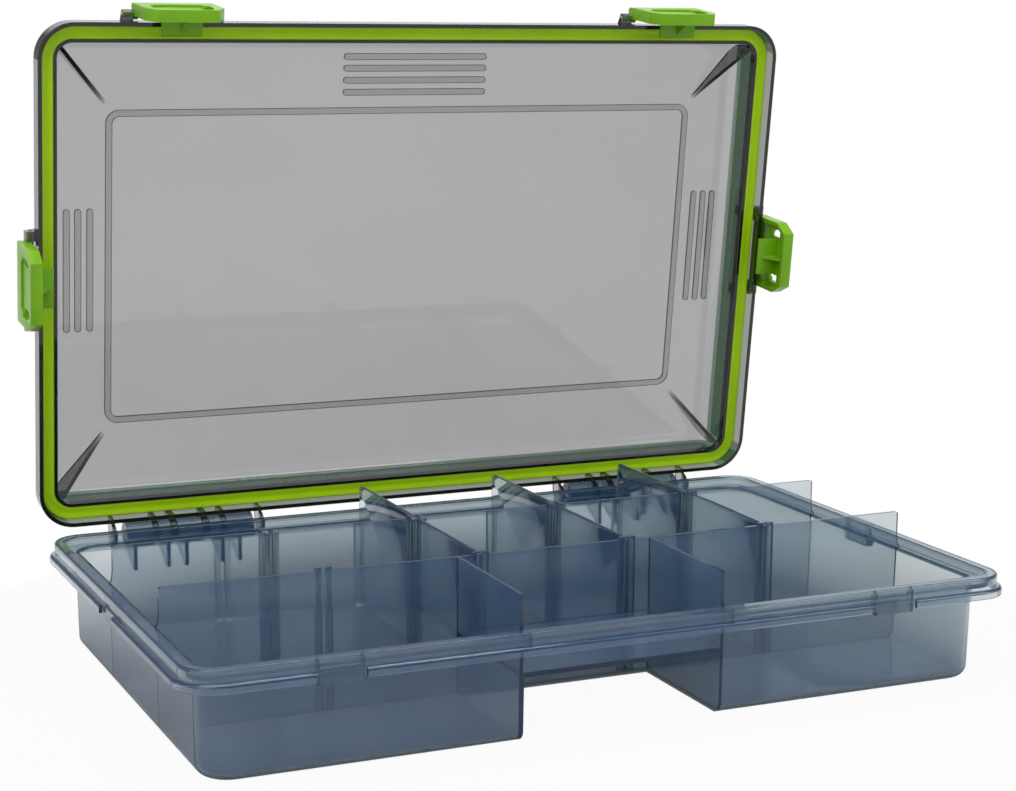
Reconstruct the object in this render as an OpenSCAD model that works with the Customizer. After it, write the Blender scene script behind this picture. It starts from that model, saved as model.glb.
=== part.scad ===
// Flat tackle box with a divided tray, a sealed hinged lid and four snap latches.
// X runs along the box, +Y points to the hinges, Z is up, and the tray stands on Z = 0.
// The lid is drawn shut, as moulded, and is then turned open about its hinge.

/* [Box] */
// Length over the rim
box_l = 360; // [300:5:440]
// Depth over the rim, from latch side to hinge side
box_w = 225; // [185:5:275]
// Height of the sealing lip above the ground
lip_z = 46; // [38:1:60]
// Corner radius of the rim
rim_r = 16; // [15.5:0.5:22]
// Angle that the lid stands open
open_angle = 83.5; // [0:0.5:110]

/* [Tray] */
// Thickness of the moulded walls and floor
wall = 1.7; // [1.3:0.1:2.2]
// Draft of the outer walls, in degrees
draft = 1.2; // [0:0.2:2.4]
// Radius of the bottom edge
foot_r = 5; // [3:0.5:6]
// Corner radius of the tray's body
body_r = 14; // [12.5:0.5:20]
// Distance from the rim's edge to the inner face of the body
rim_in = 11.25; // [10.9:0.05:14]
// Thickness of the inner walls
web = 1.6; // [1.2:0.1:2]
// Height that the inner walls stand above the sealing lip
web_up = 13; // [6:0.5:14]
// Place of the front lengthwise wall
front_wall_y = -39.5; // [-45:0.5:-30]
// Place of the rear lengthwise wall
back_wall_y = 31.5; // [25:0.5:36]
// Half of the width of the middle front compartment
notch_x = 44; // [36:0.5:52]
// Height of the finger notch under the middle front compartment
notch_z = 26; // [18:0.5:30]

/* [Dividers] */
// Thickness of a removable divider
divider_t = 1.6; // [1.2:0.1:2]
// Clearance of a divider in its slot, on each side
slot_gap = 0.2; // [0.1:0.05:0.3]
// Distance between neighbouring slots
slot_pitch = 67.5; // [60:0.5:74]
// Width of one slot rib
rib_w = 2.5; // [1.6:0.1:3.2]
// Distance that a slot rib stands out of its wall
rib_d = 2.6; // [1.8:0.1:3.4]

/* [Lid] */
// Thickness of the lid's walls
lid_t = 1.8; // [1.5:0.1:2]
// Height of the lid's skirt
skirt_h = 10; // [9:0.5:12]
// Height of the raised panel's inner face above the rim plane
panel_h = 20.6; // [20:0.1:30]
// Radius inside the edge of the raised panel
panel_r = 5.5; // [4:0.5:5.8]
// Width of the seal
seal_w = 6; // [5.4:0.1:6]
// Thickness of the seal
seal_t = 3; // [2.4:0.1:3.2]

/* [Latches] */
// Distance of each front latch from the middle
latch_x = 120; // [90:1:130]
// Width of a latch
latch_w = 35; // [32:0.5:44]
// Width of a latch's hook
hook_w = 17.5; // [12:0.5:20]
// Distance of a latch's outer face from the lid's edge
latch_out = 7.5; // [7:0.1:9]
// Length of a latch below the rim plane
latch_low = 18.5; // [16.5:0.5:21]
// Radius of a latch's pivot stubs
stub_r = 1.2; // [1:0.05:1.4]

/* [Hinges] */
// Distance of each hinge from the middle
hinge_x = 111.5; // [80:0.5:115]
// Distance of the hinge axis behind the rim's edge
axis_out = 5.8; // [5.7:0.1:7]
// Radius of the tray's knuckles
knuckle_r = 5.3; // [4:0.1:5.3]
// Radius of a hinge pin
pin_r = 1.25; // [1:0.05:1.5]
// Radial clearance of pins and stubs
run_gap = 0.05; // [0.02:0.01:0.1]

/* [Hidden] */
$fn = 64;

// Colours
SMOKE = [0.42, 0.48, 0.56, 0.6];
CLEAR = [0.66, 0.66, 0.68, 0.5];
LIME = [0.45, 0.69, 0.16];
STEEL = [0.75, 0.76, 0.78];

// Rim: heights and insets from its outer edge
rim_z = lip_z - 5;
flange_top = rim_z - 0.2;
flange_low = rim_z - 3.7;
lip_out = 2.2;
lip_in = 7.3;
ledge_z = rim_z + 1.5;
web_z = lip_z + web_up;
body_l = box_l - 2 * (rim_in - wall);
body_w = box_w - 2 * (rim_in - wall);
inner_x = box_l / 2 - rim_in;
inner_y = box_w / 2 - rim_in;
strike_z = rim_z - 5.5;
strike_in = 1.5;

// Foot of the drafted wall: the centre of its edge radius, inward of the body's outline
foot_x = (foot_r + (ledge_z - foot_r) * sin(draft)) / cos(draft);

// Lid: insets from its outer edge and heights above the rim plane
channel_in = 7.9;
panel_wall = channel_in + 1.3;
lid_top = panel_h + lid_t;
panel_x = panel_wall + panel_r;
seal_face = skirt_h - lid_t - seal_t;
axis_y = box_w / 2 + axis_out;
axis_z = rim_z + 1;
lid_wall_mid = panel_r + lid_t / 2;
// Middle of the panel's wall on a corner's diagonal, inward of the lid's square corner
corner_in = rim_r - (rim_r - panel_wall + lid_t / 2) * cos(45);

// Dividers
divider_z = wall + 0.1;
divider_top = web_z + 0.3;
rib_x = divider_t / 2 + slot_gap + rib_w / 2;
// The wall's draft brings its inner face in by this much at the floor
draft_in = (ledge_z - foot_r) * tan(draft);

// Latches
pivot_out = 2.6;
pivot_h = 7.5;
latch_in = 2.2;
latch_high = pivot_h + 2.9;
cut_w = 4.2;
cut_h = 7.6;
back_r = 2.6;
ear_w = 4.4;
ear_gap = 0.3;

// Hinges: knuckles and fingers, as distances along one hinge from its middle
KNUCKLES = [[-29.9, -17.8], [-14.8, -9.7], [-6.1, 5.2], [8.8, 14.1], [17.1, 29.7]];
GAPS = [[-17.8, -14.8], [-9.7, -6.1], [5.2, 8.8], [14.1, 17.1]];
FINS = [-29.2, -13.9, -5.5, 10.8, 19.5];
CHEEKS = [-35.2, 34.1];
fin_t = 1.7;
pin_end = 29.2;

// ---- Shared shapes ----

// A rounded rectangle in plan
module plan(l, w, r) {
    square([l - 2 * r, w], center = true);
    square([l, w - 2 * r], center = true);
    for (x = [-1, 1], y = [-1, 1])
        translate([x * (l / 2 - r), y * (w / 2 - r)])
            circle(r);
}

// Carries a profile round a rounded rectangle. In the profile, x runs inward from the outline
// and y is the height. The profile goes no further inward than r.
module ring(l, w, r) {
    for (turn = [0, 180])
        rotate([0, 0, turn]) {
            translate([r - l / 2, -w / 2, 0])
                rotate([90, 0, 90])
                    linear_extrude(l - 2 * r)
                        children();
            translate([-l / 2, w / 2 - r, 0])
                rotate([90, 0, 0])
                    linear_extrude(w - 2 * r)
                        children();
            translate([l / 2 - r, w / 2 - r, 0])
                rotate_extrude(angle = 90)
                    translate([r, 0])
                        mirror([1, 0])
                            children();
            translate([r - l / 2, w / 2 - r, 0])
                rotate([0, 0, 90])
                    rotate_extrude(angle = 90)
                        translate([r, 0])
                            mirror([1, 0])
                                children();
        }
}

// A plate that stands on edge: its outline is drawn in X and Z, and it is t thick about y
module plate_x(y, t) {
    translate([0, y + t / 2, 0])
        rotate([90, 0, 0])
            linear_extrude(t)
                children();
}

// A plate that stands on edge: its outline is drawn in Y and Z, and it is t thick about x
module plate_y(x, t) {
    translate([x - t / 2, 0, 0])
        rotate([90, 0, 90])
            linear_extrude(t)
                children();
}

// ---- Tray ----

// The half plane inside a drafted wall with a rounded foot, moved inward by t. The foot's arc
// stands 0.01 proud of the drafted line, so that the two cross and never just touch.
module inside_2d(t) {
    r = foot_r - t;
    px = foot_x - r * cos(draft) + 0.01;
    pz = foot_r - r * sin(draft);
    polygon([[px, pz], [px - (ledge_z - pz) * tan(draft), ledge_z],
        [body_r - 0.5, ledge_z], [body_r - 0.5, foot_r - r], [foot_x, foot_r - r]]);
    translate([foot_x, foot_r])
        circle(r);
}

// Section of the tray's wall, with the start of the floor
module wall_2d() {
    difference() {
        inside_2d(0);
        translate([0, 0.001])
            inside_2d(wall);
        translate([0, ledge_z])
            square([2 * body_r, 1]);
        translate([body_r - 0.6, wall])
            square([2, ledge_z]);
    }
}

// Section of the rim: flange with a rounded edge, hollow sealing lip and ledge
module rim_2d() {
    edge_r = 1.6;
    difference() {
        union() {
            translate([edge_r, flange_top - edge_r])
                circle(edge_r);
            translate([0, flange_low])
                square([lip_out + 0.8, flange_top - edge_r - flange_low]);
            translate([edge_r, flange_low])
                square([lip_out, flange_top - flange_low]);
        }
        translate([1.5, flange_low - 1])
            square([4, flange_top - 0.6 - flange_low]);
    }
    difference() {
        union() {
            translate([lip_out, flange_top - 1.6])
                square([lip_in - lip_out, lip_z - 0.8 - flange_top + 1.6]);
            translate([lip_out + 0.8, lip_z - 1])
                square([lip_in - lip_out - 1.6, 1]);
            for (x = [lip_out + 0.8, lip_in - 0.8])
                translate([x, lip_z - 0.8])
                    circle(0.8);
        }
        translate([lip_out + 1.5, flange_top - 3])
            square([lip_in - lip_out - 3, lip_z - 1.6 - flange_top + 3]);
        translate([lip_out + 1.5, flange_top - 3])
            square([lip_in, ledge_z - 1.6 - flange_top + 3]);
    }
    translate([lip_in - 1.5, ledge_z - 1.6])
        square([rim_in - lip_in + 1.5, 1.6]);
}

// Space under the middle front compartment, larger by t all round
module notch(t) {
    translate([-notch_x + web / 2 - t, -box_w, -5])
        cube([2 * notch_x - web + 2 * t, box_w + front_wall_y - web / 2 + t, notch_z + 5 + t]);
}

// Outline of a lengthwise wall, in X and Z: it follows the foot and leans in above the ledge
module long_wall_2d() {
    x = box_l / 2 - rim_in;
    foot = box_l / 2 - rim_in + wall - foot_x;
    mid = foot_r - wall / 2;
    slope = 1.9;
    side = concat(
        [for (a = [0, 45, 90]) [foot + mid * sin(a), foot_r - mid * cos(a)]],
        [[x + wall / 2, ledge_z - 0.8], [x + slope - 0.4, ledge_z - 0.8],
        [x + slope - 0.4, ledge_z], [x + 0.4, ledge_z + 2.4], [x, ledge_z + 6],
        [x, web_z - 0.9], [x - 0.3, web_z - 0.3], [x - 0.9, web_z]]);
    polygon(concat(side, [for (i = [len(side) - 1:-1:0]) [-side[i][0], side[i][1]]]));
}

// Outline of a front partition, in Y and Z
module short_wall_2d() {
    y = box_w / 2 - rim_in;
    foot = box_w / 2 - rim_in + wall - foot_x;
    mid = foot_r - wall / 2;
    polygon(concat(
        [[front_wall_y, foot_r - mid]],
        [for (a = [0, 45, 90]) [-foot - mid * sin(a), foot_r - mid * cos(a)]],
        [[-y - wall / 2, ledge_z - 0.8], [-y - 1.2, ledge_z - 0.8], [-y - 1.2, ledge_z],
        [-y - 0.4, ledge_z + 2.4], [-y, ledge_z + 6], [-y, web_z - 0.9],
        [0.3 - y, web_z - 0.3], [0.9 - y, web_z], [front_wall_y, web_z]]));
}

// Two ribs that hold a divider's edge, on a wall face at y, standing out along side. They rise a
// little above the wall.
module slot(x, y, side) {
    top = web_z + 0.8;
    for (s = [-1, 1])
        plate_y(x + s * rib_x, rib_w)
            polygon([[y - 0.4 * side, wall - 0.4], [y + rib_d * side, wall - 0.4],
                [y + rib_d * side, top - 0.9], [y + (rib_d - 0.9) * side, top],
                [y - 0.4 * side, top]]);
}

// The same two ribs on the back wall, where they follow the rounded foot
module back_slot(x) {
    foot = inner_y + wall - foot_x;
    mid = foot_r - wall / 2;
    face = inner_y - rib_d;
    for (s = [-1, 1])
        plate_y(x + s * rib_x, rib_w)
            polygon([[face, foot_r - sqrt(mid * mid - pow(max(face - foot, 0), 2))],
                [foot + mid * sin(50), foot_r - mid * cos(50)], [foot + mid, foot_r],
                [inner_y + wall / 2, ledge_z - 0.8], [face, ledge_z - 0.8]]);
}

// Every slot: four places along the back wall and both lengthwise walls
module slots() {
    for (i = [-1.5, -0.5, 0.5, 1.5]) {
        x = i * slot_pitch;
        back_slot(x);
        slot(x, back_wall_y + web / 2, 1);
        slot(x, back_wall_y - web / 2, -1);
        slot(x, front_wall_y + web / 2, 1);
    }
}

// Recess in the flange's edge at a strike, at the middle of the side y = -w / 2
module strike_recess(w) {
    translate([-hook_w / 2 - 0.8, -w / 2 - 1, flange_low - 1])
        cube([hook_w + 1.6, strike_in + 1, flange_top - flange_low + 2]);
}

// The block under the flange that a latch's hook holds, at the middle of the side y = -w / 2
module strike(w) {
    translate([-hook_w / 2, -w / 2, 0])
        rotate([90, 0, 90])
            linear_extrude(hook_w)
                polygon([[strike_in + 0.6, strike_z], [lip_in - 1.6, strike_z],
                    [lip_in - 1.6, ledge_z - 0.8], [lip_out + 0.8, ledge_z - 0.8],
                    [strike_in + 0.6, flange_top - 0.4], [strike_in, flange_top - 1],
                    [strike_in, strike_z + 1.6]]);
}

// Ribs across the hollow of the lip, seen through the rim
module lip_ribs() {
    for (x = [-latch_x - hook_w / 2, -latch_x + hook_w / 2, -notch_x, notch_x,
        latch_x - hook_w / 2, latch_x + hook_w / 2])
        lip_rib(x, box_w);
    for (a = [-90, 90], x = [-hook_w / 2, hook_w / 2])
        rotate([0, 0, a])
            lip_rib(x, box_l);
}

// One such rib, on the side y = -w / 2
module lip_rib(x, w) {
    translate([x - 0.8, lip_out + 1 - w / 2, flange_top - 1.4])
        cube([1.6, lip_in - lip_out - 2, lip_z - 1 - flange_top + 1.4]);
}

// Tray side of one hinge, about its own middle: knuckles, their webs and the fins below
module tray_hinge() {
    for (k = KNUCKLES) {
        translate([k[0], axis_y, axis_z])
            rotate([0, 90, 0])
                cylinder(h = k[1] - k[0], r = knuckle_r);
        translate([k[0], box_w / 2 - 1.4, flange_low + 0.3])
            cube([k[1] - k[0], axis_out + 1.4, flange_top - flange_low - 0.6]);
    }
    for (x = FINS)
        plate_y(x, fin_t)
            polygon([[inner_y + wall / 2, rim_z - 12], [inner_y + wall + 1, rim_z - 12],
                [axis_y, axis_z - knuckle_r + 0.2], [axis_y, axis_z - 2],
                [box_w / 2 - 1, flange_top - 0.5], [inner_y + wall / 2, flange_top - 0.5]]);
}

// Bore of one hinge, about its own middle: the pin goes in from the end near the box's middle
module hinge_bore() {
    translate([-pin_end, axis_y, axis_z])
        rotate([0, 90, 0])
            cylinder(h = 2 * pin_end + 2, r = pin_r + run_gap);
}

module base_tray() {
    color(SMOKE) {
        difference() {
            union() {
                difference() {
                    union() {
                        ring(body_l, body_w, body_r)
                            wall_2d();
                        linear_extrude(wall)
                            plan(body_l - 2 * body_r + 4, body_w - 2 * body_r + 4, 2);
                    }
                    notch(0);
                }
                difference() {
                    ring(box_l, box_w, rim_r)
                        rim_2d();
                    for (x = [-latch_x, latch_x])
                        translate([x, 0, 0])
                            strike_recess(box_w);
                    for (a = [-90, 90])
                        rotate([0, 0, a])
                            strike_recess(box_l);
                }
                rim_fill();
                notch_walls();
                for (y = [front_wall_y, back_wall_y])
                    plate_x(y, web)
                        long_wall_2d();
                slots();
                for (x = [-latch_x, latch_x])
                    translate([x, 0, 0])
                        strike(box_w);
                for (a = [-90, 90])
                    rotate([0, 0, a])
                        strike(box_l);
                lip_ribs();
                for (x = [-hinge_x, hinge_x])
                    translate([x, 0, 0])
                        mirror([x < 0 ? 0 : 1, 0, 0])
                            tray_hinge();
            }
            for (x = [-hinge_x, hinge_x])
                translate([x, 0, 0])
                    mirror([x < 0 ? 0 : 1, 0, 0])
                        hinge_bore();
        }
    }
}

// Closes the ledge between the rim's tighter corners and the body's wider ones
module rim_fill() {
    translate([0, 0, ledge_z - 1.6])
        linear_extrude(1.6)
            difference() {
                plan(box_l - 2 * lip_in + 2, box_w - 2 * lip_in + 2, rim_r - lip_in + 1);
                plan(2 * inner_x, 2 * inner_y, body_r - wall);
            }
}

// Walls round the finger notch, and the raised floor over it
module notch_walls() {
    for (x = [-notch_x, notch_x])
        plate_y(x, web)
            short_wall_2d();
    translate([-notch_x, -inner_y - wall / 2, notch_z])
        cube([2 * notch_x, inner_y + wall / 2 + front_wall_y, wall]);
}

// ---- Lid, drawn shut ----

// Turns what is drawn shut to the angle that the lid stands open
module opened() {
    translate([0, axis_y, axis_z])
        rotate([-open_angle, 0, 0])
            translate([0, -axis_y, -axis_z])
                children();
}

// Section of the lid: skirt, seal channel and the side of the raised panel
module lid_2d() {
    edge_r = 2;
    difference() {
        union() {
            square([lid_t, skirt_h - edge_r]);
            translate([edge_r, skirt_h - edge_r])
                circle(edge_r);
            translate([edge_r, skirt_h - lid_t])
                square([panel_wall - edge_r, lid_t]);
            translate([channel_in, seal_face - 0.3])
                square([1.3, skirt_h - seal_face + 0.3]);
            translate([panel_wall - lid_t, skirt_h - lid_t])
                square([lid_t, panel_h - panel_r - skirt_h + lid_t]);
        }
        translate([lid_t, -1])
            square([channel_in - lid_t, skirt_h - lid_t + 1]);
    }
    intersection() {
        difference() {
            translate([panel_x, panel_h - panel_r])
                circle(panel_r + lid_t);
            translate([panel_x, panel_h - panel_r])
                circle(panel_r);
        }
        translate([panel_x - 2 * panel_r, panel_h - panel_r])
            square([2 * panel_r, 2 * panel_r]);
    }
    translate([panel_x, panel_h])
        square([0.8, lid_t]);
}

// A straight raised bead with round ends, on the outside of the panel
module pill(x, y, length, along_x) {
    half = length / 2 - 1.25;
    translate([x, y, lid_top - 0.4])
        rotate([0, 0, along_x ? 0 : 90]) {
            translate([-half, -1.25, 0])
                cube([2 * half, 2.5, 1.2]);
            for (s = [-half, half])
                translate([s, 0, 0])
                    cylinder(h = 1.2, r = 1.25);
        }
}

// The rectangular bead and the grip beads
module beads() {
    bead_l = 2 * (box_l / 2 - 34.7);
    bead_w = 2 * (box_w / 2 - 41);
    translate([0, 0, lid_top - 0.4])
        linear_extrude(1.2)
            difference() {
                plan(bead_l, bead_w, 6);
                plan(bead_l - 5, bead_w - 5, 3.5);
            }
    for (s = [-1, 1], inset = [17.1, 22.2, 27.6])
        pill(s * (box_l / 2 - inset), 0, 55.6, false);
    for (inset = [17.5, 22.8, 28.3, 33.8])
        pill(0, inset - box_w / 2, 70.4, true);
}

// One fin across an inside corner, from the wall down to the panel
module corner_fin() {
    mid = lid_wall_mid;
    translate([box_l / 2 - corner_in - 2.45, box_w / 2 - corner_in - 3.05, 0])
        rotate([0, 0, 229])
            rotate([90, 0, 0])
                translate([0, 0, -0.9])
                    linear_extrude(1.8)
                        polygon([[2.5 - mid, 5.3], [2.5 - mid, panel_h - panel_r],
                            [2.5 - 0.707 * mid, panel_h - panel_r + 0.707 * mid],
                            [2.5, panel_h + lid_t / 2], [31.6, panel_h + lid_t / 2],
                            [31.6, panel_h - 0.1]]);
}

// Section of a latch ear, in distance out of the skirt and height: a lug that holds the stub
module ear_2d() {
    translate([pivot_out, pivot_h])
        circle(2.1);
    translate([-lid_t / 2, pivot_h - 2.1])
        square([pivot_out + lid_t / 2, 4.2]);
    polygon([[-panel_wall + lid_t / 2, skirt_h - 0.6], [pivot_out, skirt_h - 0.6],
        [pivot_out, pivot_h + 2.1], [-1, skirt_h + 1.8], [-panel_wall + lid_t / 2, skirt_h + 2.4]]);
}

// The pair of ears for one latch, at the middle of the side y = -w / 2
module ears(w) {
    for (s = [-1, 1])
        translate([s * (latch_w / 2 + ear_gap + ear_w / 2), -w / 2, 0])
            mirror([0, 1, 0])
                plate_y(0, ear_w)
                    ear_2d();
}

// Bores for one latch's stubs
module ear_bores(w) {
    for (s = [-1, 1])
        translate([s * (latch_w / 2 + ear_gap + ear_w / 2), -w / 2 - pivot_out, pivot_h])
            rotate([0, 90, 0])
                cylinder(h = ear_w + 1, r = stub_r + run_gap, center = true);
}

// Lid side of one hinge, about its own middle: fingers between the knuckles and end cheeks
module lid_hinge() {
    for (g = GAPS)
        plate_y((g[0] + g[1]) / 2, g[1] - g[0] - 0.6)
            hinge_finger_2d();
    for (x = CHEEKS)
        plate_y(x, 1.6)
            hinge_finger_2d();
}

module hinge_finger_2d() {
    translate([axis_y, 1])
        circle(knuckle_r - 0.2);
    polygon([[box_w / 2 - lid_t / 2, 0.6], [axis_y, 0.6], [axis_y, 1 + knuckle_r - 0.2],
        [box_w / 2 + 1, skirt_h - 2.5], [box_w / 2 - lid_t / 2, skirt_h - 2.5]]);
}

module lid() {
    color(CLEAR)
        opened()
            translate([0, 0, rim_z])
                difference() {
                    union() {
                        ring(box_l, box_w, rim_r)
                            lid_2d();
                        translate([0, 0, panel_h])
                            linear_extrude(lid_t)
                                plan(box_l - 2 * panel_x, box_w - 2 * panel_x, rim_r - panel_x);
                        beads();
                        for (x = [0, 1], y = [0, 1])
                            mirror([x, 0, 0])
                                mirror([0, y, 0])
                                    corner_fin();
                        for (x = [-latch_x, latch_x])
                            translate([x, 0, 0])
                                ears(box_w);
                        for (a = [-90, 90])
                            rotate([0, 0, a])
                                ears(box_l);
                        for (x = [-hinge_x, hinge_x])
                            translate([x, 0, 0])
                                mirror([x < 0 ? 0 : 1, 0, 0])
                                    lid_hinge();
                    }
                    for (x = [-latch_x, latch_x])
                        translate([x, 0, 0])
                            ear_bores(box_w);
                    for (a = [-90, 90])
                        rotate([0, 0, a])
                            ear_bores(box_l);
                    for (x = [-hinge_x, hinge_x])
                        translate([x, 0, -rim_z])
                            mirror([x < 0 ? 0 : 1, 0, 0])
                                hinge_bore();
                }
}

// The seal fills the channel's roof and lies against its inner wall
module lid_gasket() {
    color(LIME)
        opened()
            translate([0, 0, rim_z])
                ring(box_l, box_w, rim_r)
                    translate([channel_in - seal_w, seal_face])
                        square([seal_w, seal_t]);
}

// A bare clear film on the panel's inner face
module label_film() {
    color([0.85, 0.85, 0.87, 0.4])
        opened()
            translate([72.2, -58.7, rim_z + panel_h - 0.2])
                cube([61.4, 43.7, 0.2]);
}

// ---- Hinge pins ----

module hinge_pin(x) {
    color(STEEL)
        translate([x - pin_end + 0.1, axis_y, axis_z])
            rotate([0, 90, 0])
                cylinder(h = 2 * pin_end - 0.2, r = pin_r);
}

module hinge_pin_left() {
    hinge_pin(-hinge_x);
}

module hinge_pin_right() {
    hinge_pin(hinge_x);
}

// ---- Latches, drawn shut at the middle of the side y = -w / 2 ----

// Outline of a latch seen from outside: the two corners at its free end are cut off
module latch_outline(inset) {
    w = latch_w / 2 - inset;
    polygon([[-w, latch_high - inset], [w, latch_high - inset],
        [w, cut_h + 0.2 * inset - latch_low], [w - cut_w + 0.4 * inset, inset - latch_low],
        [cut_w - 0.4 * inset - w, inset - latch_low], [-w, cut_h + 0.2 * inset - latch_low]]);
}

// Section of a latch's plate, in distance out of the skirt and height: its pivot end is round
module latch_side_2d() {
    translate([latch_in, -latch_low])
        square([latch_out - latch_in, latch_low + latch_high - back_r]);
    translate([latch_in, latch_high - back_r - 0.5])
        square([latch_out - back_r - latch_in, back_r + 0.5]);
    translate([latch_out - back_r, latch_high - back_r])
        circle(back_r);
}

// Outline of the grip recess in a latch's outer face
module grip_2d() {
    w = latch_w / 2 - 4.6;
    polygon([[3 - w, 0.8], [w - 3, 0.8], [w - 1.5, -1.6], [w, -4], [w, cut_h - latch_low],
        [w - 2.2, 1.2 - latch_low], [2.2 - w, 1.2 - latch_low], [-w, cut_h - latch_low],
        [-w, -4], [1.5 - w, -1.6]]);
}

// Extrudes an outline outward, from a to b beyond the skirt
module outward(a, b) {
    translate([0, -a, 0])
        rotate([90, 0, 0])
            linear_extrude(b - a)
                children();
}

// Section of the hook, in distance out of the skirt and height: it holds under the strike
module hook_2d() {
    polygon([[latch_out - 1.6, -8.8], [latch_in, -8.6], [-4, -8], [-5, -7.2], [-5, -6.3],
        [-4.5, -5.8], [-3.4, -5.8], [latch_in, -6.4], [latch_out - 1.6, -6.4]]);
}

module latch(w) {
    color(LIME)
        opened()
            translate([0, -w / 2, rim_z])
                union() {
                    difference() {
                        intersection() {
                            outward(latch_in, latch_out)
                                latch_outline(0);
                            plate_y(0, latch_w + 2)
                                mirror([1, 0])
                                    latch_side_2d();
                        }
                        outward(latch_in - 1, latch_out - 2.6)
                            latch_outline(2);
                        outward(latch_out - 1, latch_out + 1)
                            grip_2d();
                        // Windows at both sides of the hook
                        for (s = [-1, 1])
                            outward(latch_in - 1, latch_out + 1)
                                translate([s * (hook_w / 2 + 2.6) - 1.9, -10.2])
                                    square([3.8, 7.6]);
                        // Relief that lets the pivot end swing over the roof's edge
                        outward(latch_in - 1, pivot_out + 2.9)
                            translate([-latch_w, pivot_h + 2.2])
                                square([2 * latch_w, 4]);
                    }
                    translate([-hook_w / 2, 0, 0])
                        rotate([90, 0, 90])
                            linear_extrude(hook_w)
                                mirror([1, 0])
                                    hook_2d();
                    // Rib from the hook's lower side to the free end
                    plate_y(0, 1.4)
                        mirror([1, 0])
                            polygon([[latch_out - 2, 1 - latch_low], [latch_in + 0.6, 1 - latch_low],
                                [-3.6, -7.6], [latch_out - 2, -7.6]]);
                    // Pivot stubs in the ears
                    for (s = [-1, 1])
                        translate([s * (latch_w / 2 + ear_w / 2 - 1), -pivot_out, pivot_h])
                            rotate([0, 90, 0])
                                cylinder(h = ear_w + 2, r = stub_r, center = true);
                    for (s = [-1, 1])
                        translate([s * (latch_w / 2 - 1), -pivot_out, pivot_h])
                            rotate([0, 90, 0])
                                cylinder(h = 2, r = 2.2, center = true);
                }
}

module latch_side(w, turn) {
    color(LIME)
        opened()
            rotate([0, 0, turn])
                translate([0, axis_y, axis_z])
                    rotate([open_angle, 0, 0])
                        translate([0, -axis_y, -axis_z])
                            latch(w);
}

module latch_front_left() {
    translate([-latch_x, 0, 0])
        latch(box_w);
}

module latch_front_right() {
    translate([latch_x, 0, 0])
        latch(box_w);
}

module latch_left() {
    latch_side(box_l, -90);
}

module latch_right() {
    latch_side(box_l, 90);
}

// ---- Dividers ----

// A thin plate with rounded top corners that stands in a pair of slots from y0 to y1
module divider(x, y0, y1, foot) {
    r = 2.5;
    color(SMOKE)
        plate_y(x, divider_t)
            difference() {
                translate([y0, divider_z])
                    square([y1 - y0, divider_top - divider_z]);
                for (s = [0, 1])
                    translate([s == 0 ? y0 : y1, divider_top])
                        mirror([s, 0])
                            difference() {
                                translate([-1, -r])
                                    square([r + 1, r + 1]);
                                translate([r, -r])
                                    circle(r);
                            }
                // Corner that clears the tray's rounded foot
                polygon([[y1 - foot, divider_z - 1], [y1 + 1, divider_z - 1], [y1 + 1, divider_z + foot],
                    [y1, divider_z + foot]]);
            }
}

module divider_back(i) {
    divider((i - 1.5) * slot_pitch, back_wall_y + web / 2 + slot_gap,
        inner_y - slot_gap - draft_in, foot_r - wall);
}

module divider_middle(i) {
    divider((i - 1.5) * slot_pitch, front_wall_y + web / 2 + slot_gap,
        back_wall_y - web / 2 - slot_gap, 0.01);
}

module divider_back_1() {
    divider_back(1);
}

module divider_back_2() {
    divider_back(2);
}

module divider_back_3() {
    divider_back(3);
}

module divider_middle_1() {
    divider_middle(1);
}

module divider_middle_2() {
    divider_middle(2);
}

module divider_middle_3() {
    divider_middle(3);
}

base_tray();
lid();
lid_gasket();
label_film();
hinge_pin_left();
hinge_pin_right();
latch_front_left();
latch_front_right();
latch_left();
latch_right();
divider_back_1();
divider_back_2();
divider_back_3();
divider_middle_1();
divider_middle_2();
divider_middle_3();
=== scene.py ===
"""A flat tackle box standing open: smoke tray, clear lid, green seal, four green snap latches."""

from __future__ import annotations

import logging
import math
from dataclasses import dataclass, field
from enum import Enum

import bmesh
import bpy
import numpy as np
from mathutils import Euler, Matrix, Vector


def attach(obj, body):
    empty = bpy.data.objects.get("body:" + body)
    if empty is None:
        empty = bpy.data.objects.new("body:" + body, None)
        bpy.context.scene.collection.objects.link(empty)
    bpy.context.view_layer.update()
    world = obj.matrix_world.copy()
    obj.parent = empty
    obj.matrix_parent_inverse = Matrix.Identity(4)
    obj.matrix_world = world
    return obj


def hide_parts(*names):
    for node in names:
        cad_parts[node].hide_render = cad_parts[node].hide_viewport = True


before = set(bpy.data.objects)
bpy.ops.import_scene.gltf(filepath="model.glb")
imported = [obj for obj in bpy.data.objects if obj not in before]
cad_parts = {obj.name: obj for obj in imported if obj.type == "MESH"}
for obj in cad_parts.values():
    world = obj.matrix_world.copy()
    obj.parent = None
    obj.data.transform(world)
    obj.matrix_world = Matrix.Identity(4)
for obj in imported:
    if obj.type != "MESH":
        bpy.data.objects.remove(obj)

LOG = logging.getLogger("tackle_box")
MM = 0.001
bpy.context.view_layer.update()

Colour = tuple[float, float, float]

# The lid's hinge line runs along X through this point, and the lid stands open by this angle.
HINGE = Vector((0, 118.3 * MM, 42 * MM))
OPEN_DEGREES = 83.5
# Noise stays between these values nearly everywhere.
NOISE_LOW, NOISE_HIGH = 0.3, 0.7
# Points of a CAD copy this close are one, and faces that bend by less than this angle are one.
ONE_POINT = 0.002 * MM
ONE_FACE_DEGREES = 0.8
# Edges that bend by more than this angle are rounded.
SHARP_DEGREES = 25


# ---- Finishes ----


class Polish(Enum):
    """How smooth a moulded face is: its roughness at the smoothest and the dullest spots."""

    CLEAR = (0.02, 0.06)
    SOFT = (0.03, 0.09)
    SATIN = (0.26, 0.38)
    RUBBER = (0.42, 0.58)


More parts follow.
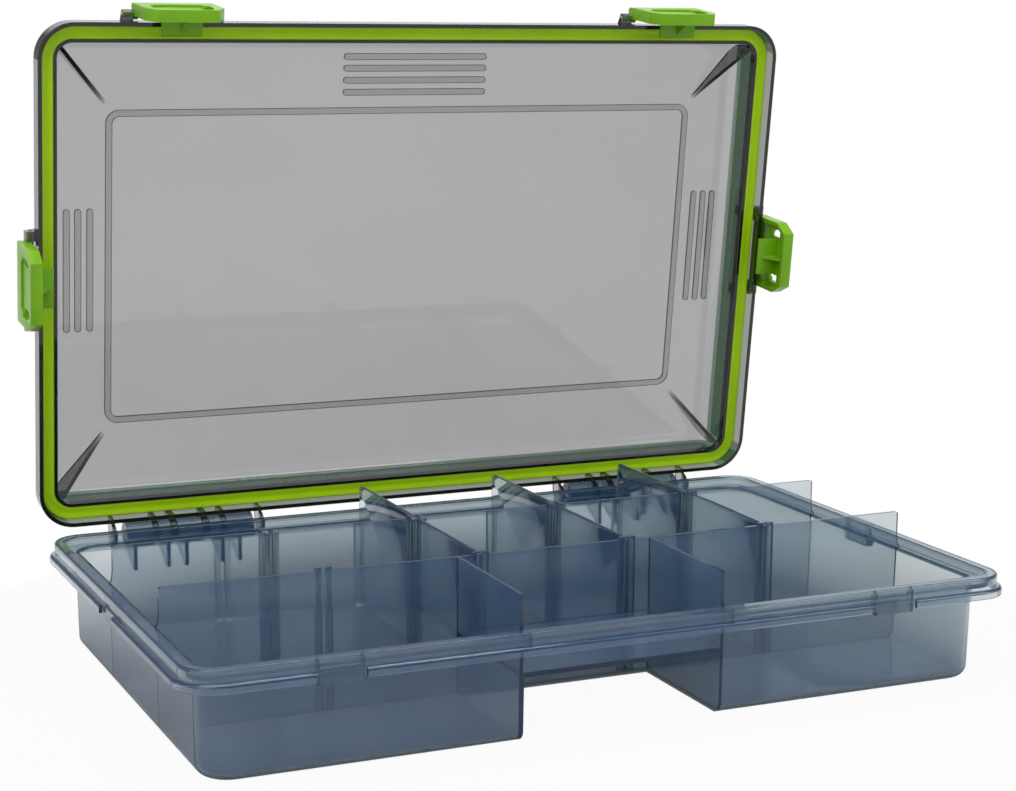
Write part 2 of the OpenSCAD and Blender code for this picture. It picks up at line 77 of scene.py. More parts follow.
class Nodes:
    """A node tree, with one method for each kind of node that the finishes and the studio share."""

    def __init__(self, owner: bpy.types.Material | bpy.types.World, place: str = "Object") -> None:
        """Starts an empty tree.

        Args:
            owner: the material or the world that the tree is for.
            place: the coordinates that its patterns follow.
        """
        self.owner = owner
        owner.use_nodes = True
        self.tree = owner.node_tree
        self.tree.nodes.clear()
        self.place = self.add("ShaderNodeTexCoord").outputs[place]

    @classmethod
    def material(cls, name: str) -> Nodes:
        """An empty tree for a new material with this name."""
        return cls(bpy.data.materials.new(name))

    def add(self, kind: str, **values: object) -> bpy.types.Node:
        """Adds a node and sets its sockets.

        Args:
            kind: Blender's name for the node.
            values: a socket's name, with _ for a space, and its value or the output to link.

        Returns:
            The new node.
        """
        node = self.tree.nodes.new(kind)
        for key, value in values.items():
            socket = node.inputs[key.replace("_", " ")]
            if isinstance(value, bpy.types.NodeSocket):
                self.tree.links.new(value, socket)
            else:
                socket.default_value = value
        return node

    def noise(
        self, size: float, detail: float = 3.0, stretch: Colour = (1, 1, 1)
    ) -> bpy.types.NodeSocket:
        """Noise from 0 to 1 whose features are about size metres across.

        Args:
            size: the width of a feature, in metres.
            detail: how much finer structure it holds.
            stretch: the pattern's scale along each axis.

        Returns:
            The output with the noise.
        """
        place = self.add("ShaderNodeMapping", Vector=self.place, Scale=stretch).outputs[0]
        return self.add("ShaderNodeTexNoise", Vector=place, Scale=1 / size, Detail=detail).outputs[0]

    def between(self, source: bpy.types.NodeSocket, low: float, high: float) -> bpy.types.NodeSocket:
        """Maps noise's usual span onto low to high."""
        return self.add(
            "ShaderNodeMapRange", Value=source, From_Min=NOISE_LOW, From_Max=NOISE_HIGH,
            To_Min=low, To_Max=high,
        ).outputs[0]

    def tint(self, source: bpy.types.NodeSocket, low: Colour, high: Colour) -> bpy.types.NodeSocket:
        """A colour that runs from low to high over noise's usual span."""
        ramp = self.add("ShaderNodeValToRGB", Fac=source)
        stops = ramp.color_ramp.elements
        stops[0].position, stops[1].position = NOISE_LOW, NOISE_HIGH
        stops[0].color, stops[1].color = (*low, 1), (*high, 1)
        return ramp.outputs[0]

    def math(self, operation: str, *terms: bpy.types.NodeSocket | float) -> bpy.types.NodeSocket:
        """One sum on outputs or plain numbers, such as MAXIMUM or MULTIPLY."""
        node = self.tree.nodes.new("ShaderNodeMath")
        node.operation = operation
        for socket, term in zip(node.inputs, terms):
            if isinstance(term, bpy.types.NodeSocket):
                self.tree.links.new(term, socket)
            else:
                socket.default_value = term
        return node.outputs[0]

    def reach(self, source: bpy.types.NodeSocket, offset: float, half: float) -> bpy.types.NodeSocket:
        """How far |source + offset| goes past half."""
        return self.math("SUBTRACT", self.math("ABSOLUTE", self.math("ADD", source, offset)), half)

    def bump(self, source: bpy.types.NodeSocket, height: float) -> bpy.types.NodeSocket:
        """A normal that follows source as a relief of height metres."""
        return self.add("ShaderNodeBump", Height=source, Distance=height, Strength=1.0).outputs[0]

    def finish(self, shader: bpy.types.NodeSocket) -> bpy.types.Material:
        """Links the shader to the output and returns the material."""
        self.output = self.add("ShaderNodeOutputMaterial", Surface=shader)
        return self.owner


def shade(colour: Colour, factor: float) -> Colour:
    """The colour times a factor, held at 1."""
    return tuple(min(1.0, c * factor) for c in colour)


@dataclass(frozen=True)
class PaintedChannelShade:
    """Painted shade round a lid's seal, where light runs along the walls and not through them.

    The first two sizes are the rectangle inside the channel. The tint holds over the band, and
    beyond it only below the lip, and fades in and out over the last size. All are in metres.
    """

    half_length: float
    half_depth: float
    band: float
    lip: float
    fade: float
    colour: Colour

    def darken(self, nodes: Nodes, skin: bpy.types.NodeSocket) -> bpy.types.NodeSocket:
        """Multiplies a skin colour by painted shade on the seal's channel and the skirt's end.

        Formula: the open lid is turned back shut. Outside a rectangle about its middle the tint
        holds over the band's width, and beyond that only below the lip's height.

        Args:
            nodes: the tree to add to.
            skin: the output with the skin colour.

        Returns:
            The output with the darkened colour.
        """
        moved = nodes.add("ShaderNodeVectorMath", Vector=nodes.place)
        moved.operation = "SUBTRACT"
        moved.inputs[1].default_value = HINGE
        turned = nodes.add(
            "ShaderNodeVectorRotate", Vector=moved.outputs[0], Angle=math.radians(OPEN_DEGREES)
        )
        turned.rotation_type = "X_AXIS"
        parts = nodes.add("ShaderNodeSeparateXYZ", Vector=turned.outputs[0]).outputs
        along = nodes.reach(parts[0], 0.0, self.half_length)
        across = nodes.reach(parts[1], HINGE.y, self.half_depth)
        far = nodes.math("MAXIMUM", along, across)
        outside = nodes.add("ShaderNodeMapRange", Value=far, From_Min=0.0, From_Max=self.fade)
        within = nodes.add(
            "ShaderNodeMapRange", Value=far, From_Min=self.band, From_Max=self.band - self.fade
        )
        low = nodes.add(
            "ShaderNodeMapRange", Value=parts[2], From_Min=self.lip, From_Max=self.lip - self.fade
        )
        share = nodes.math(
            "MULTIPLY", outside.outputs[0], nodes.math("MAXIMUM", within.outputs[0], low.outputs[0])
        )
        mix = nodes.tree.nodes.new("ShaderNodeMix")
        mix.data_type, mix.blend_type = "RGBA", "MULTIPLY"
        nodes.tree.links.new(share, mix.inputs[0])
        nodes.tree.links.new(skin, mix.inputs[6])
        mix.inputs[7].default_value = (*self.colour, 1)
        return mix.outputs[2]


@dataclass(frozen=True)
class ClearMoulding:
    """See-through moulded plastic: its body absorbs light, and its skin scatters a little back."""

    name: str
    absorption: Colour
    haze: Colour
    haze_share: float
    polish: Polish
    ripple: float = 0.00002
    density: float = 1000.0
    # Painted shade that darkens the skin round the seal, if any.
    edge: PaintedChannelShade | None = None

    def material(self) -> bpy.types.Material:
        """Builds the plastic: a clear skin with flow marks and ripple, haze, and a tinted body.

        The body takes exp(-absorption * way) of the light, with the way in millimetres.

        Returns:
            The finished material.
        """
        n = Nodes.material(self.name)
        flow = n.noise(0.09, 4.0, (1.0, 0.5, 1.6))
        low, high = self.polish.value
        gloss = n.between(n.noise(0.012, 5.0), low, high)
        normal = n.bump(n.noise(0.035, 2.0), self.ripple)
        skin = n.tint(flow, (0.96, 0.96, 0.97), (1.0, 1.0, 1.0))
        # Painted shade: a dark green tint round the seal's channel, multiplied into the skin.
        if self.edge:
            skin = self.edge.darken(n, skin)
        clear = n.add(
            "ShaderNodeBsdfPrincipled", Base_Color=skin,
            Roughness=gloss, IOR=1.49, Transmission_Weight=1.0, Normal=normal,
        )
        milk = n.add(
            "ShaderNodeBsdfPrincipled",
            Base_Color=n.tint(flow, shade(self.haze, 0.9), shade(self.haze, 1.1)),
            Roughness=n.between(flow, 0.3, 0.4), IOR=1.49, Normal=normal,
        )
        both = n.add("ShaderNodeMixShader", Fac=self.haze_share)
        n.tree.links.new(clear.outputs[0], both.inputs[1])
        n.tree.links.new(milk.outputs[0], both.inputs[2])
        kept = tuple(1 - a * 1000 / self.density for a in self.absorption)
        body = n.add("ShaderNodeVolumeAbsorption", Color=(*kept, 1), Density=self.density)
        material = n.finish(both.outputs[0])
        n.tree.links.new(body.outputs[0], n.output.inputs["Volume"])
        return material


@dataclass(frozen=True)
class SolidMoulding:
    """Coloured moulded plastic or rubber: even colour with flow marks and a fine mould grain."""

    name: str
    colour: Colour
    polish: Polish
    grain: float = 0.000012
    glow: float = 0.0

    def material(self) -> bpy.types.Material:
        """Builds the plastic: two scales of colour change, uneven polish, grain and soft depth.

        Returns:
            The finished material.
        """
        n = Nodes.material(self.name)
        flow = n.noise(0.02, 4.0, (1.0, 0.6, 1.0))
        low, high = self.polish.value
        grain = n.bump(n.noise(0.0007, 2.0), self.grain)
        skin = n.add(
            "ShaderNodeBsdfPrincipled",
            Base_Color=n.tint(flow, shade(self.colour, 0.94), shade(self.colour, 1.05)),
            Roughness=n.between(n.noise(0.006, 4.0), low, high),
            IOR=1.5, Specular_IOR_Level=0.35, Normal=grain, Subsurface_Weight=self.glow,
            Subsurface_Radius=(0.4, 1.0, 0.1), Subsurface_Scale=0.0012,
        )
        return n.finish(skin.outputs[0])


@dataclass(frozen=True)
class DrawnWire:
    """Bright drawn steel wire with fine lengthwise lines."""

    name: str
    colour: Colour

    def material(self) -> bpy.types.Material:
        """Builds the steel: lines along X in both polish and relief."""
        n = Nodes.material(self.name)
        lines = n.noise(0.0004, 2.0, (0.02, 1.0, 1.0))
        steel = n.add(
            "ShaderNodeBsdfPrincipled",
            Base_Color=n.tint(lines, shade(self.colour, 0.9), self.colour),
            Metallic=1.0, Roughness=n.between(lines, 0.22, 0.4), Normal=n.bump(lines, 0.000004),
        )
        return n.finish(steel.outputs[0])


@dataclass(frozen=True)
class BareFilm:
    """A thin clear film: it lets nearly all light through and shows by its gloss and its edge."""

    name: str
    veil: float

    def material(self) -> bpy.types.Material:
        """Builds the film from a see-through layer and a faint glossy one."""
        n = Nodes.material(self.name)
        wave = n.noise(0.03, 3.0)
        gloss = n.add(
            "ShaderNodeBsdfPrincipled",
            Base_Color=n.tint(wave, (0.74, 0.74, 0.76), (0.8, 0.8, 0.82)),
            Roughness=n.between(wave, 0.08, 0.16), Normal=n.bump(wave, 0.00002),
        )
        both = n.add("ShaderNodeMixShader", Fac=self.veil)
        through = n.add("ShaderNodeBsdfTransparent")
        n.tree.links.new(through.outputs[0], both.inputs[1])
        n.tree.links.new(gloss.outputs[0], both.inputs[2])
        return n.finish(both.outputs[0])


SMOKE = ClearMoulding(
    "smoke_moulding", (0.215, 0.175, 0.185), (0.19, 0.40, 0.98), 0.085, Polish.SOFT
)
# Painted shade on the lid: a dark green tint round the seal's channel and the skirt's end.
LID_CHANNEL_SHADE = PaintedChannelShade(
    half_length=0.1703, half_depth=0.1028, band=0.0077, lip=-0.0004, fade=0.0003,
    colour=(0.12, 0.23, 0.14),
)
CLEAR = ClearMoulding(
    "clear_moulding", (0.48, 0.48, 0.475), (0.5, 0.56, 0.66), 0.015, Polish.CLEAR, edge=LID_CHANNEL_SHADE
)
# Painted shade: far denser than the lid's own plastic, it only draws the beads' dark outlines.
BEAD_SHADE = ClearMoulding(
    "painted_bead_shade", (2.6, 2.5, 2.3), (0.3, 0.36, 0.45), 0.03, Polish.SOFT, density=8000.0
)
LIME = SolidMoulding("lime_moulding", (0.19, 0.46, 0.004), Polish.SATIN, glow=0.15)
SEAL = SolidMoulding("lime_seal", (0.46, 0.80, 0.003), Polish.RUBBER, glow=0.1)
WIRE = DrawnWire("drawn_wire", (0.72, 0.73, 0.75))
FILM = BareFilm("bare_film", 0.01)
FILM_EDGE = BareFilm("film_edge", 0.134)


# ---- Mesh helpers ----


def mesh_object(name: str, points: np.ndarray, faces: np.ndarray) -> bpy.types.Object:
    """Makes a smooth object at the origin from points and four-sided faces.

    Args:
        name: the piece's name.
        points: one row of x, y, z in metres per point.
        faces: one row of four point numbers per face.

    Returns:
        The new object, in the scene.
    """
    mesh = bpy.data.meshes.new(name)
    mesh.from_pydata(points.tolist(), [], faces.tolist())
    mesh.polygons.foreach_set("use_smooth", np.ones(len(faces), bool))
    mesh.update()
    piece = bpy.data.objects.new(name, mesh)
    bpy.context.scene.collection.objects.link(piece)
    return piece


def grid_faces(rows: int, columns: int) -> np.ndarray:
    """Faces of a grid that closes on itself both ways, with its points numbered row by row.

    Args:
        rows: how many points go round the path.
        columns: how many points go round the profile.

    Returns:
        One row of four point numbers per face.
    """
    i, j = np.meshgrid(np.arange(rows), np.arange(columns), indexing="ij")
    i2, j2 = (i + 1) % rows, (j + 1) % columns
    corners = (i * columns + j, i2 * columns + j, i2 * columns + j2, i * columns + j2)
    return np.stack(corners, -1).reshape(-1, 4)


def ring_path(
    half: tuple[float, float], corner: float, inset: np.ndarray, per_corner: int, per_side: int
) -> np.ndarray:
    """Points round a rounded rectangle, for each inset from its edge.

    Formula: four quarter circles of radius corner - inset about fixed centres, joined by
    straight runs.

    Args:
        half: half of its length and half of its width.
        corner: the radius of its corners.
        inset: how far each profile point lies inside the edge.
        per_corner: points on each quarter circle.
        per_side: points on each straight run between two of them.

    Returns:
        An array of path point by profile point by x and y.
    """
    cx, cy = half[0] - corner, half[1] - corner
    turn = np.linspace(0, math.pi / 2, per_corner)
    signs = ((1, 1), (-1, 1), (-1, -1), (1, -1))
    angle = np.concatenate([turn + k * math.pi / 2 for k in range(4)])
    centre = np.repeat(np.array([(sx * cx, sy * cy) for sx, sy in signs]), per_corner, 0)
    radius = (corner - inset)[None, :, None]
    ring = centre[:, None, :] + radius * np.stack([np.cos(angle), np.sin(angle)], 1)[:, None, :]
    ring = ring.reshape(4, per_corner, len(inset), 2)
    run = np.linspace(0, 1, per_side + 2)[1:-1][None, :, None, None]
    straight = ring[:, -1:] * (1 - run) + np.roll(ring, -1, 0)[:, :1] * run
    return np.concatenate([ring, straight], 1).reshape(-1, len(inset), 2)


def carried(
    section: np.ndarray, half: tuple[float, float], corner: float,
    per_corner: int = 24, per_side: int = 12,
) -> tuple[np.ndarray, np.ndarray]:
    """Carries a section round a rounded rectangle.

    Formula: each section point follows its own ring_path at its inset, at its height.

    Args:
        section: rows of inset and height, clockwise, for faces that point outwards.
        half: half of the rectangle's length and half of its width.
        corner: the radius of its corners.
        per_corner: points on each quarter circle.
        per_side: points on each straight run between two of them.

    Returns:
        Rows of x, y, z, and rows of four point numbers per face.
    """
    plan = ring_path(half, corner, section[:, 0], per_corner, per_side)
    height = np.broadcast_to(section[:, 1], plan.shape[:2])
    points = np.concatenate([plan, height[..., None]], 2).reshape(-1, 3)
    return points, grid_faces(*plan.shape[:2])


def opened(points: np.ndarray) -> np.ndarray:
    """Turns points of the shut lid to where they stand when it is open.

    Formula: each point turns by OPEN_DEGREES about the hinge line, its front edge going up.

    Args:
        points: rows of x, y, z in metres, with the lid shut.

    Returns:
        The turned points.
    """
    c, s = math.cos(math.radians(OPEN_DEGREES)), math.sin(math.radians(OPEN_DEGREES))
    y, z = points[:, 1] - HINGE.y, points[:, 2] - HINGE.z
    return np.stack([points[:, 0], HINGE.y + y * c + z * s, HINGE.z - y * s + z * c], 1)


def merged(piece: bpy.types.Object, reach: float = 0.001 * MM) -> None:
    """Joins points that coincide, so that a straight run of no length leaves no stray faces.

    Args:
        piece: the mesh to clean.
        reach: the distance within which two points are one.
    """
    work = bmesh.new()
    work.from_mesh(piece.data)
    bmesh.ops.remove_doubles(work, verts=work.verts, dist=reach)
    work.to_mesh(piece.data)
    work.free()


def softened_copy(node: str, name: str, width: float) -> bpy.types.Object:
    """A merged copy of a CAD node with its sharp edges rounded.

    Args:
        node: the CAD node to copy.
        name: the new piece's name.
        width: the width of the rounding, in metres.

    Returns:
        The new object, in the scene.
    """
    shape = bmesh.new()
    shape.from_mesh(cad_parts[node].data)
    bmesh.ops.remove_doubles(shape, verts=shape.verts, dist=ONE_POINT)
    bmesh.ops.dissolve_limit(
        shape, angle_limit=math.radians(ONE_FACE_DEGREES), verts=shape.verts, edges=shape.edges
    )
    mesh = bpy.data.meshes.new(name)
    shape.to_mesh(mesh)
    shape.free()
    mesh.polygons.foreach_set("use_smooth", np.ones(len(mesh.polygons), bool))
    piece = bpy.data.objects.new(name, mesh)
    bpy.context.scene.collection.objects.link(piece)
    soft = piece.modifiers.new("soft_edges", "BEVEL")
    soft.width, soft.segments, soft.limit_method = width, 3, "ANGLE"
    soft.angle_limit, soft.harden_normals = math.radians(SHARP_DEGREES), True
    soft.use_clamp_overlap = True
    return piece


def dress(piece: bpy.types.Object, material: bpy.types.Material) -> None:
    """Gives a piece one material in place of any that it has."""
    piece.data.materials.clear()
    piece.data.materials.append(material)


# ---- The box ----


@dataclass
class Shell:
    """The tray and the lid: CAD mouldings whose shape stays, dressed in clear plastic."""

    mouldings: dict[str, ClearMoulding] = field(
        default_factory=lambda: {"base_tray": SMOKE, "lid": CLEAR}
    )

    def build(self) -> None:
        """Dresses both mouldings."""
        for node, finish in self.mouldings.items():
            dress(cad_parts[node], finish.material())
            LOG.info("%s dressed in %s", node, finish.name)


@dataclass
class Dividers:
    """The six removable plates in the two rear rows."""

    rows: tuple[str, ...] = ("back", "middle")
    per_row: int = 3
    edge: float = 0.25 * MM

    def build(self) -> None:
        """Replaces each CAD plate with a copy whose edges are rounded."""
        material = SMOKE.material()
        for row in self.rows:
            for i in range(1, self.per_row + 1):
                node = f"divider_{row}_{i}"
                piece = softened_copy(node, f"plate_{row}_{i}", self.edge)
                dress(piece, material)
                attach(piece, node)
                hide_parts(node)
                LOG.info("%s built", piece.name)


@dataclass
class Latches:
    """The four snap latches."""

    names: tuple[str, ...] = ("front_left", "front_right", "left", "right")
    edge: float = 0.3 * MM

    def build(self) -> None:
        """Replaces each CAD latch with a copy whose edges are rounded."""
        material = LIME.material()
        for name in self.names:
            node = f"latch_{name}"
            piece = softened_copy(node, f"snap_{name}", self.edge)
            dress(piece, material)
            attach(piece, node)
            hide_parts(node)
            LOG.info("%s built", piece.name)


@dataclass
class Seal:
    """The soft band in the lid's channel, with rounded edges and a shallow groove in its face."""

    length: float = 360 * MM
    depth: float = 225 * MM
    corner: float = 16 * MM
    inset: float = 1.91 * MM
    width: float = 5.98 * MM
    face: float = 5.2 * MM
    thickness: float = 3.0 * MM
    rim_height: float = 41 * MM
    edge: float = 0.6 * MM
    groove: float = 0.25 * MM

    def profile(self, steps: int = 8) -> np.ndarray:
        """The band's section: inset from the lid's edge, and height above the rim plane.

        Formula: a rectangle with a quarter circle at each corner. Its lower face dips by a
        cosine, deepest at its middle.

        Args:
            steps: points on each quarter circle and on the dipped face.

        Returns:
            One row of inset and height per point, anticlockwise.
        """
        r = self.edge
        lo = np.array([self.inset, self.face])
        hi = lo + (self.width, self.thickness)
        turn = np.linspace(0, math.pi / 2, steps)
        left, right, bottom, top = lo[0] + r, hi[0] - r, lo[1] + r, hi[1] - r
        centres = [(right, top), (left, top), (left, bottom), (right, bottom)]
        arcs = [
            np.stack([cx + r * np.cos(turn + start), cy + r * np.sin(turn + start)], 1)
            for start, (cx, cy) in zip(np.arange(4) * math.pi / 2, centres)
        ]
        span = np.linspace(0, 1, 2 * steps)[1:-1]
        dip = self.groove * (1 - np.cos(2 * math.pi * span)) / 2
        across = np.stack([lo[0] + r + span * (self.width - 2 * r), lo[1] + dip], 1)
        return np.concatenate([arcs[0], arcs[1], arcs[2], across, arcs[3]])

    def build(self) -> None:
        """Carries the profile round the lid's outline, opens it with the lid and dresses it."""
        # The profile is anticlockwise, so it is turned round for faces that point outwards.
        section = self.profile()[::-1] + (0, self.rim_height)
        points, faces = carried(section, (self.length / 2, self.depth / 2), self.corner)
        piece = mesh_object("seal_band", opened(points), faces)
        dress(piece, SEAL.material())
        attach(piece, "lid")
        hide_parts("lid_gasket")
        LOG.info("%s built", piece.name)


@dataclass
class PaintedBeadShade:
    """Thin dark strips close outside the lid's beads: painted shade, for the looks only.

    The beads' steep sides bend the light away and show as thin dark lines of shade through
    the panel. The strips paint that shade: the CAD has no such part. Each is a rectangle,
    width by height, carried round a bead's outline and clear of it.
    """

    panel: tuple[float, float, float] = (145.3 * MM, 71.5 * MM, 6 * MM)
    panel_step: float = 2.5 * MM
    side_insets: tuple[float, ...] = (17.1 * MM, 22.2 * MM, 27.6 * MM)
    front_insets: tuple[float, ...] = (17.5 * MM, 22.8 * MM, 28.3 * MM, 33.8 * MM)
    side_length: float = 55.6 * MM
    front_length: float = 70.4 * MM
    half_bead: float = 1.25 * MM
    half_lid: tuple[float, float] = (180 * MM, 112.5 * MM)
    foot: float = 63.42 * MM
    height: float = 0.72 * MM
    clear: float = 0.02 * MM
    width: float = 0.28 * MM

    def outlines(self) -> list[tuple[float, float, float, float, float]]:
        """Middle x and y, half length, half width and corner radius of each bead's outline.

        The second is the inner edge of the rectangular bead, taken in by the strip and its
        room on both sides, so that the strip lies inside that edge.
        """
        a, b, r = self.panel
        bead = self.half_bead
        inner = self.panel_step + 2 * self.clear + self.width
        rings = [(0, 0, a, b, r), (0, 0, a - inner, b - inner, r - inner)]
        for inset in self.side_insets:
            for side in (-1, 1):
                x = side * (self.half_lid[0] - inset)
                rings.append((x, 0, bead, self.side_length / 2, bead))
        for inset in self.front_insets:
            rings.append((0, inset - self.half_lid[1], self.front_length / 2, bead, bead))
        return rings

    def build(self) -> None:
        """Carries one narrow rectangle round every outline, as a single piece."""
        near, far = -self.clear, -self.clear - self.width
        top = self.height + self.foot
        section = np.array([(far, top), (near, top), (near, self.foot), (far, self.foot)])
        points, faces, count = [], [], 0
        for x, y, half_x, half_y, corner in self.outlines():
            ring, sides = carried(section, (half_x, half_y), corner, per_corner=12, per_side=2)
            points.append(ring + (x, y, 0))
            faces.append(sides + count)
            count += len(ring)
        points = opened(np.concatenate(points))
        piece = mesh_object("painted_bead_outlines", points, np.concatenate(faces))
        merged(piece)
        flat = np.zeros(len(piece.data.polygons), bool)
        piece.data.polygons.foreach_set("use_smooth", flat)
        # Dense dark plastic: painted shade along the beads' outlines.
        dress(piece, BEAD_SHADE.material())
        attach(piece, "lid")
        LOG.info("%s built", piece.name)


@dataclass
class LabelFilm:
    """The bare film on the lid's inner face: one thin closed sheet with a cut edge all round."""

    corner: tuple[float, float] = (72.2 * MM, -58.7 * MM)
    size: tuple[float, float] = (61.4 * MM, 43.7 * MM)
    height: float = 61.5 * MM
    border: float = 0.4 * MM
    thickness: float = 0.05 * MM

    def build(self) -> None:
        """Makes the sheet as a grid of three by three faces, the outer ones its cut edge.

        Formula: each side has points at 0, the border, the side less the border and the side.
        """
        steps = [np.array([0, self.border, side - self.border, side]) for side in self.size]
        x, y = np.meshgrid(self.corner[0] + steps[0], self.corner[1] + steps[1], indexing="ij")
        points = np.stack([x, y, np.full_like(x, self.height)], -1).reshape(-1, 3)
        i, j = (part.ravel() for part in np.meshgrid(range(3), range(3), indexing="ij"))
        faces = np.stack([4 * i + j, 4 * i + j + 1, 4 * i + j + 5, 4 * i + j + 4], -1)
        piece = mesh_object("clear_film", opened(points), faces)
        dress(piece, FILM.material())
        piece.data.materials.append(FILM_EDGE.material())
        piece.data.polygons.foreach_set("material_index", np.where((i == 1) & (j == 1), 0, 1))
        wall = piece.modifiers.new("thickness", "SOLIDIFY")
        wall.thickness, wall.offset = self.thickness, 0
        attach(piece, "lid")
        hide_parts("label_film")
        LOG.info("%s built", piece.name)


@dataclass
class Pins:
    """The two hinge pins, which keep their CAD shape."""

    nodes: tuple[str, ...] = ("hinge_pin_left", "hinge_pin_right")

    def build(self) -> None:
        """Dresses both pins in steel."""
        wire = WIRE.material()
        for node in self.nodes:
            dress(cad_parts[node], wire)
            LOG.info("%s dressed in %s", node, WIRE.name)


# ---- Studio ----


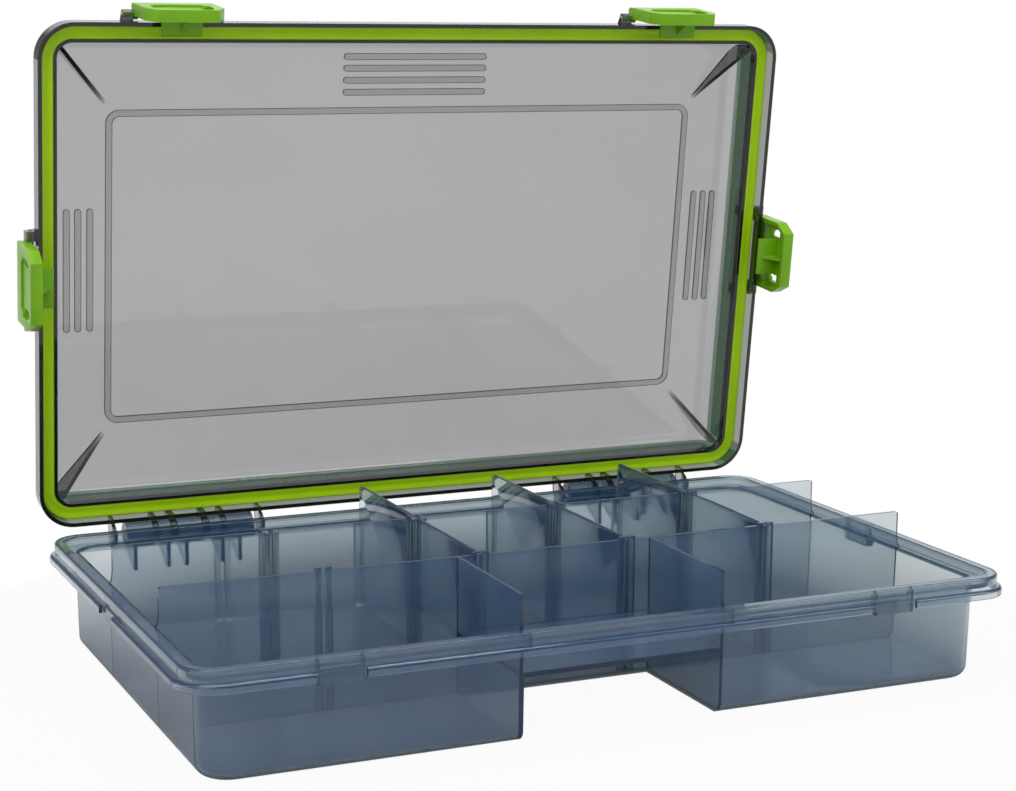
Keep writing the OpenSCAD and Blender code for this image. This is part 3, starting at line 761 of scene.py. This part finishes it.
@dataclass
class Studio:
    """Floor, soft lights and the camera at the photograph's place.

    A lamp is its name, its place and the length of its side in metres, and its power in watts.
    """

    floor_size: float = 60.0
    floor_grey: float = 0.5
    # Painted shade near the box for rays by mirror or through the plastic, fading out over these
    # distances.
    fade: tuple[float, float] = (0.18, 0.27)
    how_white: float = 0.95
    # Painted light: the least share of plain white under the box for those rays.
    under: float = 0.1
    surround_grey: float = 0.5
    sectors: float = 4.0
    sector_edge: tuple[float, float] = (-0.75, -0.3)
    overhead: tuple[float, float] = (0.85, 0.45)
    gap: float = 0.25
    lamps: tuple[tuple[str, Colour, float, float], ...] = (
        ("soft_top", (0.0, -0.1, 1.7), 1.5, 18),
        ("soft_left", (-1.4, -1.2, 1.5), 1.2, 12),
        ("soft_right", (1.5, -0.9, 1.2), 1.0, 6),
    )
    camera_place: Vector = field(default_factory=lambda: Vector((-0.37866, -0.82361, 0.27548)))
    heading: float = 24.442
    tilt: float = 9.980
    roll: float = 0.458
    lens: float = 76.572

    def floor(self) -> None:
        """A pale floor that keeps the box's shadow and fades into the white surround.

        Formula: the share of plain white is at least how_white for camera rays. For those and
        for rays by mirror or through the plastic it also grows with the distance from the box,
        from a small share, painted light under the box, at the first distance to one at the
        second. Near the box such rays see the grey lit floor: painted shade beside the box's real
        shadow.
        """
        half = self.floor_size / 2
        corners = np.array([(-half, -half, 0), (half, -half, 0), (half, half, 0), (-half, half, 0)])
        ground = mesh_object("floor", corners, np.array([[0, 1, 2, 3]]))
        n = Nodes.material("pale_floor")
        matt = n.add("ShaderNodeBsdfDiffuse", Color=(*(self.floor_grey,) * 3, 1))
        ray = n.add("ShaderNodeLightPath").outputs
        away = n.tree.nodes.new("ShaderNodeVectorMath")
        away.operation = "LENGTH"
        n.tree.links.new(n.place, away.inputs[0])
        near, far = self.fade
        fade = n.add(
            "ShaderNodeMapRange", Value=away.outputs["Value"], From_Min=near, From_Max=far
        )
        light = n.add("ShaderNodeEmission", Color=(1, 1, 1, 1), Strength=1.0)
        seen = n.math("MAXIMUM", ray["Is Camera Ray"], ray["Is Glossy Ray"])
        seen = n.math("MAXIMUM", seen, ray["Is Transmission Ray"])
        # Painted shade near the box and a little painted light under it, for rays by mirror or
        # through the plastic.
        share = n.math(
            "MAXIMUM", n.math("MULTIPLY", ray["Is Camera Ray"], self.how_white),
            n.math("MULTIPLY", seen, n.math("MAXIMUM", fade.outputs[0], self.under)),
        )
        both = n.add("ShaderNodeMixShader", Fac=share)
        n.tree.links.new(matt.outputs[0], both.inputs[1])
        n.tree.links.new(light.outputs[0], both.inputs[2])
        dress(ground, n.finish(both.outputs[0]))

    def world(self) -> None:
        """A surround that is white to the camera, grey as light, and patterned to the plastic.

        Formula: seen by mirror or through the plastic, it is white in wide sectors about the
        camera's heading, where the cosine of sectors times the turn is high, and falls to gap
        between them and overhead. So it isn't the plain white that the camera sees.
        """
        world = bpy.data.worlds.new("studio")
        bpy.context.scene.world = world
        n = Nodes(world, "Generated")
        parts = n.add("ShaderNodeSeparateXYZ", Vector=n.place).outputs
        turn = n.math("ARCTAN2", parts[0], parts[1])
        turn = n.math("SUBTRACT", turn, math.radians(self.heading))
        wave = n.math("COSINE", n.math("MULTIPLY", turn, self.sectors))
        sector, height = (
            n.add("ShaderNodeMapRange", Value=source, From_Min=low, From_Max=high, To_Min=self.gap)
            for source, (low, high) in ((wave, self.sector_edge), (parts[2], self.overhead))
        )
        pattern = n.math("MULTIPLY", sector.outputs[0], height.outputs[0])
        ray = n.add("ShaderNodeLightPath").outputs
        straight = n.math("MAXIMUM", ray["Is Glossy Ray"], ray["Is Transmission Ray"])
        grey = n.add("ShaderNodeBackground", Color=(1, 1, 1, 1), Strength=self.surround_grey)
        seen = n.add("ShaderNodeBackground", Color=(1, 1, 1, 1), Strength=pattern)
        white = n.add("ShaderNodeBackground", Color=(1, 1, 1, 1), Strength=1.0)
        shader = grey.outputs[0]
        for share, layer in ((straight, seen), (ray["Is Camera Ray"], white)):
            mix = n.add("ShaderNodeMixShader", Fac=share)
            n.tree.links.new(shader, mix.inputs[1])
            n.tree.links.new(layer.outputs[0], mix.inputs[2])
            shader = mix.outputs[0]
        n.add("ShaderNodeOutputWorld", Surface=shader)

    def lamp(self, name: str, place: Colour, size: float, power: float) -> None:
        """A square soft light that faces the box.

        Args:
            name: the lamp's name.
            place: where it hangs, in metres.
            size: the length of its side, in metres.
            power: its power, in watts.
        """
        data = bpy.data.lights.new(name, "AREA")
        data.size, data.energy = size, power
        lamp = bpy.data.objects.new(name, data)
        lamp.location = place
        aim = Vector((0, 0, 0.1)) - Vector(place)
        lamp.rotation_euler = aim.to_track_quat("-Z", "Y").to_euler()
        bpy.context.scene.collection.objects.link(lamp)

    def camera(self) -> None:
        """The camera, at the place and angles measured from the photograph."""
        data = bpy.data.cameras.new("camera")
        data.lens, data.sensor_width, data.sensor_fit = self.lens, 36.0, "HORIZONTAL"
        data.clip_start, data.clip_end = 0.01, 100.0
        camera = bpy.data.objects.new("camera", data)
        camera.location = self.camera_place
        turn = Euler((math.radians(90 - self.tilt), 0, math.radians(-self.heading))).to_matrix()
        turn = turn @ Euler((0, 0, math.radians(self.roll))).to_matrix()
        camera.rotation_euler = turn.to_euler()
        bpy.context.scene.collection.objects.link(camera)
        bpy.context.scene.camera = camera

    def build(self) -> None:
        """Sets up the whole studio."""
        bpy.context.scene.view_settings.view_transform = "Standard"
        self.camera()
        self.floor()
        self.world()
        for name, place, size, power in self.lamps:
            self.lamp(name, place, size, power)
        LOG.info("studio set")


def main() -> None:
    """Builds every sub-assembly in order."""
    logging.basicConfig(level=logging.INFO, format="%(message)s")
    assemblies = (
        Studio(), Shell(), Dividers(), Seal(), Latches(), PaintedBeadShade(), LabelFilm(), Pins(),
    )
    for assembly in assemblies:
        assembly.build()
    bpy.context.view_layer.update()


if __name__ == "__main__":
    main()
